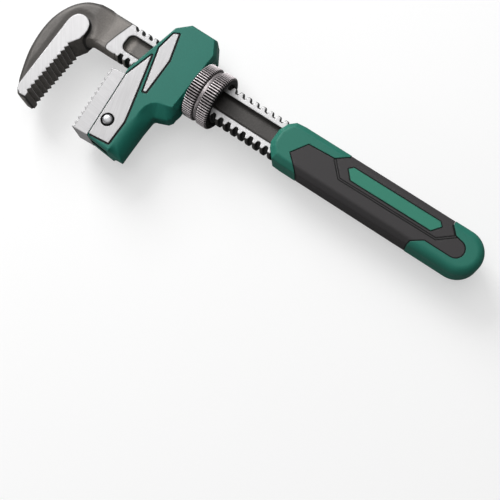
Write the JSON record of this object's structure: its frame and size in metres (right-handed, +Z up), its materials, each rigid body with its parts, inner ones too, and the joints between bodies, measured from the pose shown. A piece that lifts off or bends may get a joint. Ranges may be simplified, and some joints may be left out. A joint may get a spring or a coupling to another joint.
{
  "type": "pipe wrench",
  "caption": "Adjustable pipe wrench: forged hook jaw on a threaded I-section shank, sliding toothed heel jaw moved by a knurled nut, two-colour moulded grip.",
  "frame": {"origin": "middle of the bottom of the bounding box, with the wrench lying on its side", "axes": "+X along the handle towards the grip's end, +Y towards the back of the wrench (the jaws open towards -Y), +Z up through the wrench's thickness"},
  "size_m": [0.2788, 0.0904, 0.033],
  "materials": {
    "forged_steel": "dark forged oxide, with brushed ground faces on the hook and the shank's rails",
    "housing_paint": "satin green enamel, with two ground bare-steel lands on each face",
    "ground_steel": "brushed",
    "rivet_steel": "polished domed heads",
    "nut_steel": "black-nickel, worn bright on the knurl",
    "spring_steel": "blued",
    "grip_green": "satin moulded",
    "grip_black": "soft-touch, fine-grained"
  },
  "bodies": {
    "handle": {"hook_jaw": "forged_steel", "grip_core": "grip_green", "grip_sleeve": "grip_black"},
    "jaw": {"jaw_housing": "housing_paint", "heel_jaw_insert": "ground_steel", "insert_pin": "rivet_steel", "flat_spring": "spring_steel", "nut_retaining_ring": "spring_steel"},
    "nut": {"adjusting_nut": "nut_steel"}
  },
  "joints": [
    {"name": "jaw_slide", "type": "slide", "parent": "handle", "child": "jaw", "axis": [1, 0, 0], "range_m": [-0.024, 0.034]},
    {"name": "nut_spin", "type": "hinge", "parent": "jaw", "child": "nut", "pos_m": [-0.035, 0.0168, 0.0165], "axis": [1, 0, 0], "range_deg": [-1729, 2449]}
  ],
  "couplings": [
    {"joint": "nut_spin", "follows": "jaw_slide", "rad_per_m": 1256.6}
  ]
}
